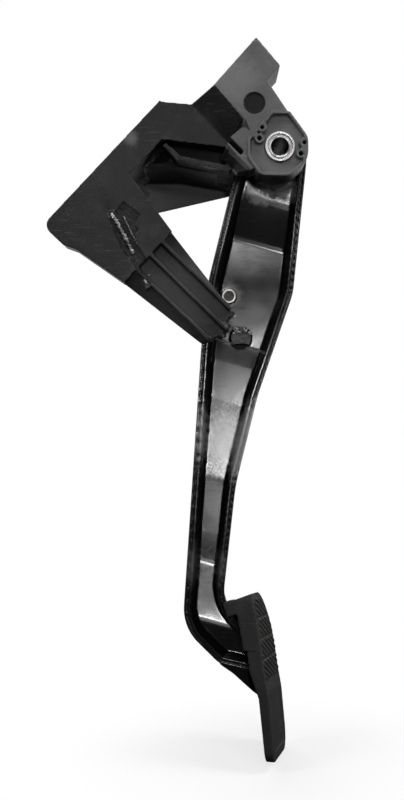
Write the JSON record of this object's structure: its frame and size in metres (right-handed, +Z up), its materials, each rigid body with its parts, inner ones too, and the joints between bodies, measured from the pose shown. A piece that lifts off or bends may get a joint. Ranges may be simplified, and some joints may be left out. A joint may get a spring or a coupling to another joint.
{
  "type": "brake pedal assembly",
  "caption": "Hanging car brake pedal: moulded bulkhead bracket with a torn ribbed arm, channel-section pedal on a steel pivot tube, and a rubber foot pad.",
  "frame": {"origin": "on the pivot axis, in the middle of the pedal hub", "axes": "+Y along the pivot axis towards the pushrod stud; +Z up; +X rearwards, to the side of the foot"},
  "size_m": [0.1296, 0.094, 0.3574],
  "materials": {
    "bracket_plastic": "black glass-filled polyamide, dull and grainy",
    "arm_plastic": "black glass-filled polyamide, glossy from the tool",
    "pad_rubber": "dull brownish-black rubber",
    "collar_steel": "plain machined steel",
    "tube_steel": "steel, brown with age in the bore",
    "zinc_steel": "zinc-plated steel, dulled",
    "bush_plastic": "natural acetal",
    "insert_brass": "plain brass"
  },
  "bodies": {
    "bracket_body": {"bracket": "bracket_plastic", "bulkhead_sleeves": "zinc_steel", "head_insert": "insert_brass", "near_collar": "collar_steel", "far_collar": "collar_steel", "pivot_tube": "tube_steel", "near_thrust_washer": "zinc_steel", "far_thrust_washer": "zinc_steel", "rest_buffer": "pad_rubber"},
    "pedal_body": {"pedal_arm": "arm_plastic", "near_hub_bush": "bush_plastic", "far_hub_bush": "bush_plastic", "rod_pin": "zinc_steel", "rod_bush": "bush_plastic", "brake_pad": "pad_rubber"}
  },
  "joints": [
    {"name": "pedal_pivot", "type": "hinge", "parent": "bracket_body", "child": "pedal_body", "pos_m": [0, 0, 0], "axis": [0, 1, 0], "range_deg": [0, 20]}
  ]
}
